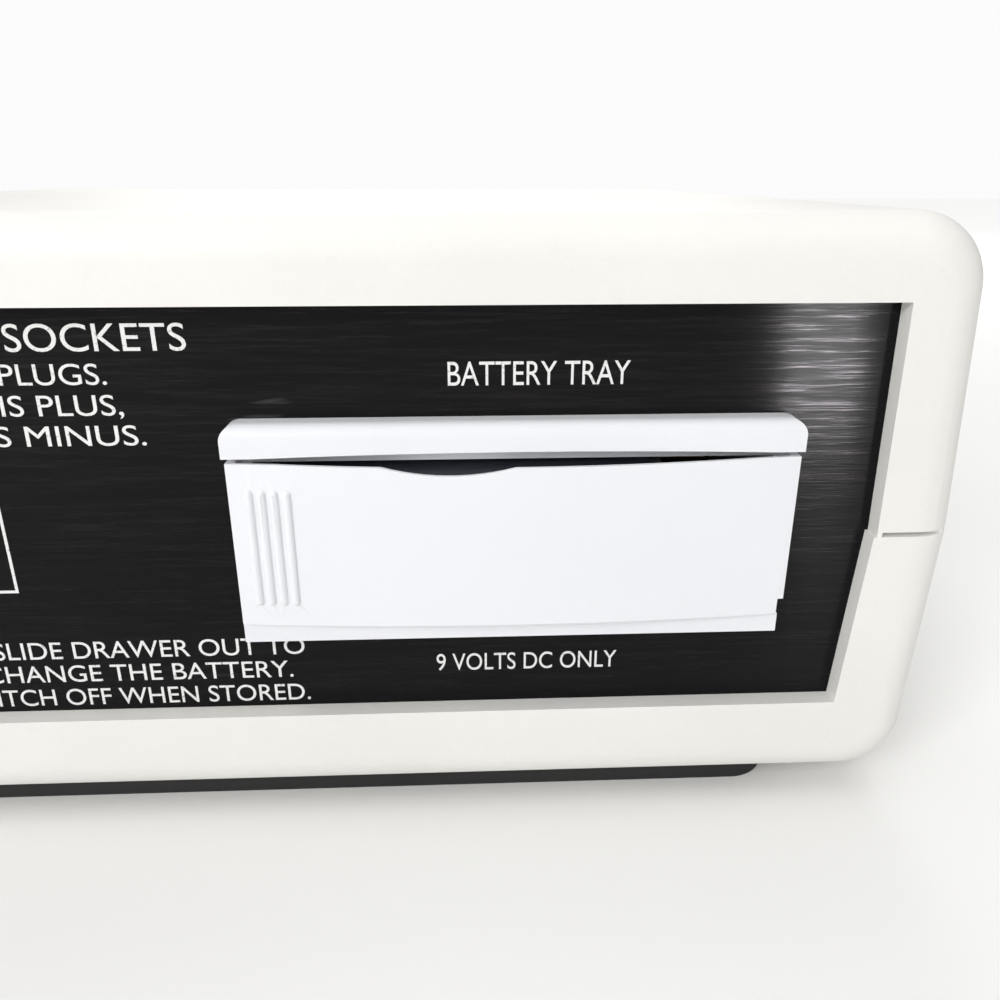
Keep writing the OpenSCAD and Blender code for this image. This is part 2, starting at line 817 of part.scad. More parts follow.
module power_rocker() {
    color([0.75, 0.1, 0.08]) on_front(rocker_x, 0)
        translate([0, 0, rocker_pivot]) rotate([rocker_throw / 2, 0, 0]) {
            rotate([90, 0, 90]) translate([0, 0, -rocker_w / 2]) linear_extrude(rocker_w) polygon([
                [-rocker_half, 1.8], [-rocker_half, 5], [-rocker_half + 0.8, 5.6], [0, 3.6],
                [rocker_half - 0.8, 5.6], [rocker_half, 5], [rocker_half, 1.8], [2.5, -2.5], [-2.5, -2.5]
            ]);
            translate([-rocker_w / 2 - 1, 0, 0]) rotate([0, 90, 0]) cylinder(r = pivot_r, h = rocker_w + 2);
        }
}

module power_switch_terminals() {
    color(brass) on_front(rocker_x, 0) for (y = [-4, 4])
        block(-2.35, 2.35, y - 0.4, y + 0.4, -switch_depth - 7, -switch_depth + 4);
}

// ---- pulse button ----
button_body_r = 5.9;
button_flange_r = 8.2;
button_cap_r = 4.6;
button_depth = 16;
button_out = 4.6;

module pulse_button_body() {
    color(steel) on_front(button_x, low_row) difference() {
        union() {
            disc(button_flange_r, 0, 1.8);
            disc(button_body_r, -button_depth, 0.1);
            for (x = [-2.5, 2.5]) translate([x, 0, 0]) disc(pin_r, -button_depth - 4, -button_depth + 0.1);
        }
        disc(button_cap_r + 0.1, -button_depth + 8, far);
        disc(2.2, -button_depth + 3, far);
    }
}

module pulse_button_cap() {
    flange_r = 1.9;
    color([0.75, 0.1, 0.08]) on_front(button_x, low_row) {
        disc(button_cap_r, -button_depth + 8 + button_travel + 0.3, button_out);
        disc(flange_r, -button_depth + 3 + button_travel + 0.5, 0);
    }
}

module pulse_button_nut() {
    color(steel) on_front(button_x, low_row)
        translate([0, 0, -panel_t - 2.5]) hex_nut(15, 2.5, button_body_r + fit);
}

// ---- mode switch ----
toggle_bush_r = 3;
toggle_bush_out = 6.5;
toggle_ball_r = 2;
toggle_pivot = 4;
toggle_l = 9;

module mode_switch_body() {
    color(steel) on_front(toggle_x, low_row) difference() {
        union() {
            block(-4, 4, -6.5, 6.5, -panel_t - 9, -panel_t);
            disc(toggle_bush_r, -panel_t - 0.5, toggle_bush_out);
            for (i = [0 : 2]) translate([0, slot_x(i, 3, 4.7), 0]) disc(pin_r, -panel_t - 13, -panel_t - 8.5);
        }
        disc(toggle_ball_r + fit, toggle_pivot - toggle_ball_r - 1.5, far);
    }
}

module mode_toggle() {
    tip_r = 1.6;
    color(steel) on_front(toggle_x, low_row)
        translate([0, 0, toggle_pivot]) rotate([toggle_throw / 2, 0, 0]) {
            sphere(r = toggle_ball_r);
            cylinder(r1 = 1.05, r2 = tip_r, h = toggle_l);
            translate([0, 0, toggle_l]) sphere(r = tip_r);
        }
}

module mode_switch_nut() {
    color(steel) on_front(toggle_x, low_row) hex_nut(8, nut_t, toggle_bush_r + fit);
}

// ---- lamps ----
led_sleeve_r = 3.2;

module lamp() {
    rim_z = -7;
    disc(led_r, rim_z, 1.5);
    translate([0, 0, 1.5]) sphere(r = led_r);
    disc(led_r + 0.4, rim_z - 1, rim_z);
    for (x = [-1, 1]) translate([x * led_leg_x, 0, 0])
        disc(0.3, control_board_z - 0.6, rim_z - 0.5);
}

module power_led() { color([0.2, 0.7, 0.25]) on_front(toggle_x, high_row) lamp(); }
module pulse_led() { color([0.8, 0.2, 0.1]) on_front(button_x, high_row) lamp(); }

module led_bezels() {
    color(steel) for (x = [toggle_x, button_x]) on_front(x, high_row) difference() {
        union() {
            disc(4.2, 0, 1.3);
            disc(led_sleeve_r, -6.8, 0.1);
        }
        disc(led_r + fit, -far, far);
    }
}

// ---- boards ----
module main_board() {
    color(board_green) difference() {
        translate([0, board_y, board_z]) linear_extrude(board_t) rounded_rect(board_w, board_d, 1.5);
        at_posts() disc(1.6, 0, far);
    }
}

module board_screws() {
    color(steel) at_posts() difference() {
        union() {
            disc(2.6, board_top, board_top + 1.9);
            disc(board_screw_r, case_z0 + wall + 0.8, board_top + 0.1);
        }
        for (a = [0, 90]) rotate([0, 0, a]) block(-1.4, 1.4, -0.3, 0.3, board_top + 0.9, far);
    }
}

// upright board behind the knobs, which carries the controls and the lamps
module control_board() {
    color(board_green) difference() {
        on_front(0, 0)
            block(toggle_x - 6, button_x + 5, -10.5, 17, control_board_z, control_board_z + board_t);
        for (x = [intensity_x, rate_x, width_x], i = [0 : 2])
            on_front(x + slot_x(i, 3, 4), -5) disc(pin_r + snug, -far, 0);
        for (x = [toggle_x, button_x], s = [-1, 1])
            on_front(x + s * led_leg_x, high_row) disc(0.3 + snug, -far, 0);
        on_front(button_x, low_row) disc(button_body_r + 1, -far, 0);
        on_front(toggle_x, low_row) block(-4.5, 4.5, -7, 7, -far, 0);
    }
}

// flat cable from the foot of the control board to the main board's front header
ribbon_x = rate_x - 13.2; // between the pins of the intensity and rate controls
ribbon_w = 15;
ribbon_t = 0.9;
header_inset = 7; // from the main board's front edge to the middle of the cable's header
header_pin_h = 8.5;

// a quarter turn of the cable: the quarter on the side (sy, sz) of the bend's axis
module ribbon_bend(r, sy, sz) {
    rotate([90, 0, 90]) linear_extrude(ribbon_w) intersection() {
        difference() {
            circle(r = r);
            circle(r = r - ribbon_t);
        }
        translate([sy > 0 ? 0 : -far, sz > 0 ? 0 : -far]) square(far);
    }
}

module ribbon_cable() {
    bend_r = 4;
    board_side_y = -face_y - control_board_z + loose;
    header_y = board_y - board_d / 2 + header_inset;
    top_z = open_mid_z - 4;
    run_z = board_top + 12;
    color([0.55, 0.55, 0.57]) translate([ribbon_x - ribbon_w / 2, 0, 0]) {
        block(0, ribbon_w, board_side_y, board_side_y + ribbon_t, run_z + bend_r, top_z);
        translate([0, board_side_y + bend_r, run_z + bend_r]) ribbon_bend(bend_r, -1, -1);
        block(0, ribbon_w, board_side_y + bend_r, header_y - bend_r, run_z, run_z + ribbon_t);
        translate([0, header_y - bend_r, run_z + ribbon_t - bend_r]) ribbon_bend(bend_r, 1, 1);
        block(0, ribbon_w, header_y - ribbon_t, header_y,
            board_top + header_pin_h + 0.1, run_z + ribbon_t - bend_r);
    }
}

module on_board(x, y) {
    translate([x, board_y + y, board_top]) children();
}

transformer_at = [30, 6];

// E-I laminations with a window either side of the winding
module transformer_core() {
    color([0.35, 0.35, 0.37]) on_board(transformer_at[0], transformer_at[1]) difference() {
        block(-15, 15, -7, 7, 0.1, 25);
        for (x = [-1, 1]) block(min(x * 5, x * 10), max(x * 5, x * 10), -8, 8, 5, 20);
    }
}

module transformer_coil() {
    color([0.8, 0.6, 0.2]) on_board(transformer_at[0], transformer_at[1]) difference() {
        block(-9.7, 9.7, -11, 11, 5.3, 19.7);
        block(-5.2, 5.2, -7.2, 7.2, 4, 21);
    }
}

// upright cans: x, y, radius and height
module capacitors() {
    color([0.1, 0.15, 0.35]) for (c = [[-4, 16, 5, 18], [-18, 18, 4, 12], [6, -12, 4, 12]])
        on_board(c[0], c[1]) {
            disc(c[2], 0.1, c[3]);
            disc(c[2] - 0.6, c[3] - 0.1, c[3] + 0.3);
        }
}

// dual in-line packages: x, y and length
module chips() {
    pitch = 2.54;
    color([0.12, 0.12, 0.12]) for (c = [[-42, 4, 19], [-42, -12, 19], [-18, -6, 9], [-18, -22, 9]]) {
        legs = floor(c[2] / pitch);
        on_board(c[0], c[1]) {
            block(-c[2] / 2, c[2] / 2, -3.2, 3.2, 0.6, 4);
            for (i = [0 : legs - 1], y = [-1, 1]) translate([slot_x(i, legs, pitch), y * 3.5, 0])
                block(-0.3, 0.3, -0.3, 0.3, 0, 2.4);
        }
    }
}

module resistors() {
    color([0.75, 0.65, 0.45]) for (i = [0 : 7])
        on_board(slot_x(i, 8, 6) + 24, -24) {
            translate([0, 3.2, 1.5]) rotate([90, 0, 0]) cylinder(r = 1.15, h = 6.4);
            for (y = [-1, 1]) {
                translate([0, y * 4.6, 0]) disc(0.3, 0.05, 1.8);
                translate([0, y * 3.1, 1.5]) rotate([-90 * y, 0, 0]) cylinder(r = 0.3, h = 1.8);
            }
        }
}

battery_header_at = [-40, 34]; // from the main board's middle
output_header_at = [40, 34];

module board_headers() {
    color([0.9, 0.89, 0.84]) {
        for (at = [battery_header_at, output_header_at]) on_board(at[0], at[1])
            block(-4, 4, -2.5, 2.5, 0, header_pin_h - 1);
        on_board(ribbon_x, header_inset - board_d / 2)
            block(-ribbon_w / 2 - 1, ribbon_w / 2 + 1, -2.8, 2.8, 0, header_pin_h);
    }
}

// ---- wires, held between their terminals ----
lead_r = 0.8;
header_top = board_top + header_pin_h - 1 + 0.2;
tag_x = drawer_x - mouth_w / 2 - box_wall - tag_out + 1.2;
tag_y = face_y + snap_w0 - contact_r - lead_r - 0.15;
tag_z = drawer_z + battery_v0 + battery_t / 2;
jack_end_y = face_y - jack_depth - 3.2;

module battery_lead_red() {
    x = battery_header_at[0];
    y = board_y + battery_header_at[1];
    color([0.75, 0.08, 0.05]) tube([
        [tag_x, tag_y + snap_pitch, tag_z], [tag_x, tag_y + snap_pitch - 0.3, tag_z - 3],
        [tag_x - 1, tag_y + 6, tag_z - 14], [tag_x + 4, tag_y - 12, tag_z - 16],
        [x - 12, y + 6, 26], [x - 3, y + 1, 27], [x - 1.5, y, header_top]
    ], lead_r, [1, 0, 0]);
}

module battery_lead_black() {
    x = battery_header_at[0];
    y = board_y + battery_header_at[1];
    color(black) tube([
        [tag_x, tag_y, tag_z], [tag_x, tag_y - 0.3, tag_z - 3],
        [tag_x - 2, tag_y - 4, tag_z - 12], [tag_x + 6, tag_y - 16, tag_z - 13],
        [x - 8, y + 4, 30], [x, y + 1, 30], [x + 1.5, y, header_top]
    ], lead_r, [1, 0, 0]);
}

module output_lead_red() {
    jack_x = socket_x - socket_pitch / 2;
    x = output_header_at[0];
    y = board_y + output_header_at[1];
    color([0.75, 0.08, 0.05]) tube([
        [jack_x, jack_end_y, socket_z], [jack_x, jack_end_y - 4, socket_z - 0.5],
        [jack_x + 0.5, jack_end_y - 10, socket_z - 6],
        [x - 2.7, y + 6, 30], [x - 2, y + 1, 27], [x - 1.5, y, header_top]
    ], lead_r, [1, 0, 0]);
}

module output_lead_black() {
    jack_x = socket_x + socket_pitch / 2;
    x = output_header_at[0];
    y = board_y + output_header_at[1];
    color(black) tube([
        [jack_x, jack_end_y, socket_z], [jack_x, jack_end_y - 4, socket_z - 0.5],
        [jack_x - 2, jack_end_y - 10, socket_z - 6],
        [x + 7.3, y + 8, 31], [x + 3, y + 2, 28], [x + 1.5, y, header_top]
    ], lead_r, [1, 0, 0]);
}

placed() lower_shell();
placed() upper_shell();
placed() rear_panel();
placed() front_panel();
placed() case_screws();
placed() foot_strip(1);  // rear_foot_strip
placed() foot_strip(-1);  // front_foot_strip
placed() drawer_housing();
placed() battery_drawer();
placed() battery_contacts();
placed() battery_jacket();
placed() battery_end_plates();
placed() battery_snaps();
placed() output_jack_red();
placed() output_jack_black();
placed() jack_sockets();
placed() jack_nuts();
placed() intensity_pot();
placed() rate_pot();
placed() width_pot();
placed() pot_nuts();
placed() intensity_shaft();
placed() rate_shaft();
placed() width_shaft();
placed() intensity_knob();
placed() rate_knob();
placed() width_knob();
placed() intensity_knob_cap();
placed() rate_knob_cap();
placed() width_knob_cap();
placed() power_switch_body();
placed() power_rocker();
placed() power_switch_terminals();
placed() pulse_button_body();
placed() pulse_button_cap();
placed() pulse_button_nut();
placed() mode_switch_body();
placed() mode_toggle();
placed() mode_switch_nut();
placed() power_led();
placed() pulse_led();
placed() led_bezels();
placed() main_board();
placed() board_screws();
placed() control_board();
placed() ribbon_cable();
placed() transformer_core();
placed() transformer_coil();
placed() capacitors();
placed() chips();
placed() resistors();
placed() board_headers();
placed() battery_lead_red();
placed() battery_lead_black();
placed() output_lead_red();
placed() output_lead_black();
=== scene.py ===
"""Looks of a bench-top nerve stimulator with a 9 V battery drawer in its rear panel.

The CAD nodes keep their shapes and get moulded edges and materials. Lettering, scales, pointers and
labels are thin pieces of their own. Places come from the frame, and lengths are in metres.
"""

import json
import math

import bmesh
import bpy
from mathutils import Matrix, Vector

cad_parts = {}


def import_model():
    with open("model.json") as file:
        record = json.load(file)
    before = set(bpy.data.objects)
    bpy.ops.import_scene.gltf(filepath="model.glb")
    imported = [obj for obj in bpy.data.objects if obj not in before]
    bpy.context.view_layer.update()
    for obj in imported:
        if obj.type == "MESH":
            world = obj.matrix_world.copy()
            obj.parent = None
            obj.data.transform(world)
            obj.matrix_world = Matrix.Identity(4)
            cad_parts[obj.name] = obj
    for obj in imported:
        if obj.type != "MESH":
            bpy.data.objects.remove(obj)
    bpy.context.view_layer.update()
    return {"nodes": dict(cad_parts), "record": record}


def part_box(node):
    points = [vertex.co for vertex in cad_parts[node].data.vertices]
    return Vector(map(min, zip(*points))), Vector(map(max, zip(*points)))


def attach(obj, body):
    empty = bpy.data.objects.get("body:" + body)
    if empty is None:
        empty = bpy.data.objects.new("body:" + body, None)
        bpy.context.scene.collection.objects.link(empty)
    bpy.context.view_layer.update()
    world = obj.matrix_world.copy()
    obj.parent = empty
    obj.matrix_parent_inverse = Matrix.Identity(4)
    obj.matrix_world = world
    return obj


MM = 0.001

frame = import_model()


def span(node):
    """Lowest and highest corner of a node, in metres."""
    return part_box(node)


def middle(node):
    low, high = span(node)
    return (low + high) / 2


REAR_FACE = span("rear_panel")[1].y
FRONT_FACE = span("front_panel")[0].y
DRAWER_X = middle("battery_drawer").x


# ---------------------------------------------------------------- node helpers


def add(tree, kind, inputs=None, **settings):
    """Adds a node. inputs holds fixed values or other nodes' sockets, by socket name or number."""
    node = tree.nodes.new(kind)
    for key, value in settings.items():
        setattr(node, key, value)
    for key, value in (inputs or {}).items():
        if isinstance(value, bpy.types.NodeSocket):
            tree.links.new(value, node.inputs[key])
        else:
            node.inputs[key].default_value = value
    return node


def math_node(tree, operation, *values, clamp=False):
    node = add(tree, "ShaderNodeMath", dict(enumerate(values)), operation=operation, use_clamp=clamp)
    return node.outputs[0]


def ramp(tree, value, low, high):
    """0 below low, 1 above high, and a smooth slope between."""
    node = add(
        tree,
        "ShaderNodeMapRange",
        {"Value": value, "From Min": low, "From Max": high},
        interpolation_type="SMOOTHSTEP",
    )
    return node.outputs["Result"]


def mix_colour(tree, share, first, second, blend="MIX"):
    node = add(tree, "ShaderNodeMix", data_type="RGBA", blend_type=blend)
    for name, value in (("Factor_Float", share), ("A_Color", first), ("B_Color", second)):
        socket = next(s for s in node.inputs if s.identifier == name)
        if isinstance(value, bpy.types.NodeSocket):
            tree.links.new(value, socket)
        else:
            socket.default_value = value
    return next(s for s in node.outputs if s.identifier == "Result_Color")


def new_group(name, inputs, outputs):
    """A shader group with its sockets, its input node and its output node."""
    group = bpy.data.node_groups.new(name, "ShaderNodeTree")
    for label, default in inputs:
        socket = group.interface.new_socket(name=label, in_out="INPUT", socket_type="NodeSocketFloat")
        socket.default_value = default
    for label in outputs:
        group.interface.new_socket(name=label, in_out="OUTPUT", socket_type="NodeSocketFloat")
    return group, group.nodes.new("NodeGroupInput"), group.nodes.new("NodeGroupOutput")


def noise(tree, where, scale, detail=4.0, roughness=0.55):
    node = add(
        tree,
        "ShaderNodeTexNoise",
        {"Vector": where, "Scale": scale, "Detail": detail, "Roughness": roughness},
    )
    return node.outputs["Fac"]


# ---------------------------------------------------------------- shared effects


def make_moulded_grain():
    """Height of the fine pebbled texture that a spark-eroded mould leaves."""
    group, given, result = new_group("Moulded Grain", [("Fineness", 2500.0)], ["Height"])
    where = add(group, "ShaderNodeTexCoord").outputs["Object"]
    pebbles = add(
        group,
        "ShaderNodeTexVoronoi",
        {"Vector": where, "Scale": given.outputs["Fineness"], "Randomness": 1.0},
        feature="SMOOTH_F1",
    ).outputs["Distance"]
    coarse = noise(group, where, given.outputs["Fineness"], 2.0)
    height = math_node(group, "ADD", pebbles, coarse)
    group.links.new(math_node(group, "MULTIPLY", height, 0.5), result.inputs["Height"])
    return group


def make_handling():
    """Slow, cloudy unevenness from handling, and small scuffs."""
    group, given, result = new_group("Handling", [("Cloud Scale", 28.0)], ["Clouds", "Scuffs"])
    where = add(group, "ShaderNodeTexCoord").outputs["Object"]
    clouds = noise(group, where, given.outputs["Cloud Scale"], 5.0, 0.6)
    group.links.new(ramp(group, clouds, 0.3, 0.72), result.inputs["Clouds"])
    stretched = add(
        group, "ShaderNodeMapping", {"Vector": where, "Rotation": (0.4, 0.7, 0.3), "Scale": (60, 900, 420)}
    ).outputs["Vector"]
    scratches = noise(group, stretched, 1.0, 3.0, 0.5)
    patches = noise(group, where, 55.0, 2.0, 0.5)
    lines = ramp(group, scratches, 0.66, 0.74)
    scuffs = math_node(group, "MULTIPLY", lines, ramp(group, patches, 0.52, 0.66))
    group.links.new(scuffs, result.inputs["Scuffs"])
    return group


def make_edge_wear():
    """Mask of the outer edges, broken up by noise."""
    group, given, result = new_group("Edge Wear", [("Width", 0.0004), ("Amount", 0.5)], ["Mask"])
    rounded = add(group, "ShaderNodeBevel", {"Radius": given.outputs["Width"]}, samples=4).outputs["Normal"]
    flat = add(group, "ShaderNodeNewGeometry").outputs["Normal"]
    agreement = add(group, "ShaderNodeVectorMath", {0: rounded, 1: flat}, operation="DOT_PRODUCT")
    edges = ramp(group, math_node(group, "SUBTRACT", 1.0, agreement.outputs["Value"]), 0.02, 0.25)
    where = add(group, "ShaderNodeTexCoord").outputs["Object"]
    broken = ramp(group, noise(group, where, 420.0, 4.0, 0.6), 0.35, 0.65)
    mask = math_node(group, "MULTIPLY", math_node(group, "MULTIPLY", edges, broken), given.outputs["Amount"])
    group.links.new(mask, result.inputs["Mask"])
    return group


def make_brushed_lines():
    """Lines drawn along X, as a belt leaves them on sheet metal: fine scratches and longer strokes."""
    group, given, result = new_group("Brushed Lines", [("Lines", 7000.0)], ["Height", "Streaks"])
    where = add(group, "ShaderNodeTexCoord").outputs["Object"]
    axes = add(group, "ShaderNodeSeparateXYZ", {0: where}).outputs
    layers = []
    for length_scale, share in ((220.0, 1.0), (110.0, 0.42), (45.0, 0.16)):
        along = math_node(group, "MULTIPLY", axes["X"], length_scale)
        line = math_node(group, "MULTIPLY", given.outputs["Lines"], share)
        across = math_node(group, "MULTIPLY", axes["Z"], line)
        vector = add(group, "ShaderNodeCombineXYZ", {"X": along, "Y": across, "Z": share}).outputs["Vector"]
        layers.append(noise(group, vector, 1.0, 2.0, 0.6))
    fine, strokes, broad = layers
    height = math_node(group, "MULTIPLY_ADD", strokes, 2.0, fine)
    group.links.new(height, result.inputs["Height"])
    mixed = math_node(group, "ADD", math_node(group, "ADD", fine, strokes), broad)
    group.links.new(ramp(group, mixed, 1.35, 1.85), result.inputs["Streaks"])
    return group


MOULDED_GRAIN = make_moulded_grain()
HANDLING = make_handling()
EDGE_WEAR = make_edge_wear()
BRUSHED_LINES = make_brushed_lines()


def effect(tree, group, **values):
    """Places a shared effect in a material; values are its inputs, with _ for a space."""
    node = add(tree, "ShaderNodeGroup", node_tree=group)
    for key, value in values.items():
        node.inputs[key.replace("_", " ")].default_value = value
    return node.outputs


# ---------------------------------------------------------------- materials


def rgb(red, green, blue):
    return (red, green, blue, 1.0)


def shade(colour, factor):
    return (colour[0] * factor, colour[1] * factor, colour[2] * factor, 1.0)


def blank(name, **constants):
    """A material with a Principled shader; constants go on its sockets, with _ for a space."""
    material = bpy.data.materials.new(name)
    material.use_nodes = True
    tree = material.node_tree
    shader = next(n for n in tree.nodes if n.type == "BSDF_PRINCIPLED")
    for key, value in constants.items():
        shader.inputs[key.replace("_", " ")].default_value = value
    return material, tree, shader


def bump(tree, shader, height, depth, strength=1.0):
    node = add(tree, "ShaderNodeBump", {"Height": height, "Distance": depth, "Strength": strength})
    tree.links.new(node.outputs["Normal"], shader.inputs["Normal"])


def plastic(
    name, colour, roughness=0.45, fineness=2500.0, depth=0.00001, wear=0.25, worn=None, clouds=0.05, **more
):
    """Moulded plastic: grain, slow unevenness in colour and gloss, and rubbed edges."""
    material, tree, shader = blank(name, **more)
    marks = effect(tree, HANDLING)
    edges = effect(tree, EDGE_WEAR, Width=0.0005, Amount=wear)["Mask"]
    base = mix_colour(tree, marks["Clouds"], shade(colour, 1 - clouds), colour)
    tree.links.new(mix_colour(tree, edges, base, worn or shade(colour, 1.25)), shader.inputs["Base Color"])
    uneven = math_node(tree, "MULTIPLY_ADD", marks["Clouds"], 0.08, roughness - 0.04)
    scuffed = math_node(tree, "MULTIPLY_ADD", marks["Scuffs"], 0.12, uneven)
    rubbed = math_node(tree, "MULTIPLY_ADD", edges, -0.1, scuffed, clamp=True)
    tree.links.new(rubbed, shader.inputs["Roughness"])
    bump(tree, shader, effect(tree, MOULDED_GRAIN, Fineness=fineness)["Height"], depth)
    return material


def metal(name, colour, roughness=0.3, depth=0.000004, wear=0.2, worn=None, clouds=0.12, **more):
    """Plated or turned metal: slow tarnish, fine scratches and brighter edges."""
    material, tree, shader = blank(name, Metallic=1.0, **more)
    marks = effect(tree, HANDLING, Cloud_Scale=90.0)
    edges = effect(tree, EDGE_WEAR, Width=0.0003, Amount=wear)["Mask"]
    base = mix_colour(tree, marks["Clouds"], shade(colour, 1 - clouds), colour)
    tree.links.new(mix_colour(tree, edges, base, worn or shade(colour, 1.2)), shader.inputs["Base Color"])
    uneven = math_node(tree, "MULTIPLY_ADD", marks["Clouds"], 0.12, roughness - 0.06)
    tree.links.new(math_node(tree, "MULTIPLY_ADD", marks["Scuffs"], 0.2, uneven), shader.inputs["Roughness"])
    bump(tree, shader, effect(tree, MOULDED_GRAIN, Fineness=5200.0)["Height"], depth)
    return material


def shell_material():
    """Warm off-white ABS with a visible pebbled texture."""
    return plastic(
        "Textured off-white ABS",
        rgb(0.815, 0.803, 0.768),
        roughness=0.5,
        fineness=1500.0,
        depth=0.00005,
        wear=0.35,
        worn=rgb(0.86, 0.85, 0.82),
        clouds=0.035,
        IOR=1.5,
    )


def drawer_material():
    """Cool white ABS, smoother than the case."""
    return plastic(
        "Cool white drawer ABS",
        rgb(0.80, 0.81, 0.84),
        roughness=0.38,
        fineness=2600.0,
        depth=0.000012,
        wear=0.3,
        worn=rgb(0.88, 0.88, 0.9),
        clouds=0.02,
    )


def panel_material():
    """Aluminium brushed sideways and anodised black: strokes that catch the light in an upright band."""
    material, tree, shader = blank("Black brushed panel", Anisotropic=0.9, Anisotropic_Rotation=0.25, IOR=1.5)
    shader.inputs["Specular IOR Level"].default_value = 0.07
    lines = effect(tree, BRUSHED_LINES)
    marks = effect(tree, HANDLING, Cloud_Scale=35.0)
    black = mix_colour(tree, lines["Streaks"], rgb(0.007, 0.007, 0.0075), rgb(0.019, 0.0175, 0.0185))
    scuffed = mix_colour(tree, marks["Scuffs"], black, rgb(0.04, 0.04, 0.044))
    tree.links.new(scuffed, shader.inputs["Base Color"])
    tree.links.new(math_node(tree, "MULTIPLY", lines["Streaks"], 0.9), shader.inputs["Metallic"])
    brushed = math_node(tree, "MULTIPLY_ADD", lines["Streaks"], -0.06, 0.2)
    uneven = math_node(tree, "MULTIPLY_ADD", marks["Clouds"], 0.04, brushed)
    tree.links.new(uneven, shader.inputs["Roughness"])
    across = add(tree, "ShaderNodeTangent", direction_type="RADIAL", axis="Z")
    tree.links.new(across.outputs["Tangent"], shader.inputs["Tangent"])
    bump(tree, shader, lines["Height"], 0.00001)
    return material


def spun_material():
    """Turned aluminium: rings round the middle of the cap."""
    material, tree, shader = blank("Spun aluminium", Metallic=1.0, Anisotropic=0.6)
    where = add(tree, "ShaderNodeTexCoord").outputs["Generated"]
    centre = (0.5, 0.5, 0.5)
    centred = add(tree, "ShaderNodeVectorMath", {0: where, 1: centre}, operation="SUBTRACT").outputs[0]
    flat = add(tree, "ShaderNodeVectorMath", {0: centred, 1: (1, 0, 1)}, operation="MULTIPLY").outputs[0]
    radius = add(tree, "ShaderNodeVectorMath", {0: flat}, operation="LENGTH").outputs["Value"]
    rings = add(
        tree,
        "ShaderNodeTexNoise",
        {"W": math_node(tree, "MULTIPLY", radius, 90.0), "Scale": 1.0, "Detail": 3.0},
        noise_dimensions="1D",
    ).outputs["Fac"]
    colour = mix_colour(tree, ramp(tree, rings, 0.3, 0.7), rgb(0.42, 0.42, 0.435), rgb(0.68, 0.68, 0.70))
    tree.links.new(colour, shader.inputs["Base Color"])
    tree.links.new(math_node(tree, "MULTIPLY_ADD", rings, 0.2, 0.18), shader.inputs["Roughness"])
    bump(tree, shader, rings, 0.00001)
    return material


def rubber_material():
    return plastic(
        "Black rubber",
        rgb(0.022, 0.022, 0.022),
        roughness=0.78,
        fineness=1800.0,
        depth=0.00004,
        wear=0.4,
        worn=rgb(0.06, 0.058, 0.055),
        clouds=0.25,
    )


def lamp_material(name, colour, glow):
    """Tinted clear resin of a small lamp, faintly lit."""
    material, tree, shader = blank(
        name, Transmission_Weight=0.45, IOR=1.52, Emission_Strength=glow, Metallic=0.0
    )
    marks = effect(tree, HANDLING, Cloud_Scale=160.0)
    tinted = mix_colour(tree, marks["Clouds"], shade(colour, 0.8), colour)
    tree.links.new(tinted, shader.inputs["Base Color"])
    tree.links.new(tinted, shader.inputs["Emission Color"])
    tree.links.new(math_node(tree, "MULTIPLY_ADD", marks["Clouds"], 0.1, 0.1), shader.inputs["Roughness"])
    return material


def board_material():
    """Green solder resist over woven glass laminate, with copper tracks showing through."""
    material, tree, shader = blank("Circuit board", Coat_Weight=0.4)
    where = add(tree, "ShaderNodeTexCoord").outputs["Object"]
    weave = add(
        tree, "ShaderNodeTexBrick", {"Vector": where, "Scale": 1100.0, "Mortar Size": 0.03}
    ).outputs["Fac"]
    tracks = add(
        tree, "ShaderNodeTexVoronoi", {"Vector": where, "Scale": 260.0}, distance="MANHATTAN"
    ).outputs["Distance"]
    green = mix_colour(tree, ramp(tree, tracks, 0.28, 0.34), rgb(0.025, 0.16, 0.06), rgb(0.012, 0.09, 0.035))
    tree.links.new(mix_colour(tree, weave, green, rgb(0.02, 0.12, 0.05)), shader.inputs["Base Color"])
    tree.links.new(math_node(tree, "MULTIPLY_ADD", tracks, 0.15, 0.3), shader.inputs["Roughness"])
    bump(tree, shader, weave, 0.00001)
    return material


def winding_material():
    """Enamelled copper wire laid side by side."""
    material, tree, shader = blank("Copper winding", Metallic=0.85)
    where = add(tree, "ShaderNodeTexCoord").outputs["Object"]
    turns = add(
        tree, "ShaderNodeTexWave", {"Vector": where, "Scale": 480.0, "Distortion": 0.3}, bands_direction="Z"
    ).outputs["Fac"]
    colour = mix_colour(tree, turns, rgb(0.30, 0.13, 0.04), rgb(0.72, 0.36, 0.13))
    tree.links.new(colour, shader.inputs["Base Color"])
    tree.links.new(math_node(tree, "MULTIPLY_ADD", turns, 0.1, 0.25), shader.inputs["Roughness"])
    bump(tree, shader, turns, 0.00012)
    return material


def laminated_material():
    """Stacked, varnished core laminations."""
    material, tree, shader = blank("Core laminations", Metallic=0.7)
    where = add(tree, "ShaderNodeTexCoord").outputs["Object"]
    sheets = add(
        tree, "ShaderNodeTexWave", {"Vector": where, "Scale": 300.0, "Distortion": 0.6}, bands_direction="Y"
    ).outputs["Fac"]
    colour = mix_colour(tree, sheets, rgb(0.07, 0.068, 0.066), rgb(0.22, 0.215, 0.21))
    tree.links.new(colour, shader.inputs["Base Color"])
    tree.links.new(math_node(tree, "MULTIPLY_ADD", sheets, 0.2, 0.4), shader.inputs["Roughness"])
    bump(tree, shader, sheets, 0.00008)
    return material


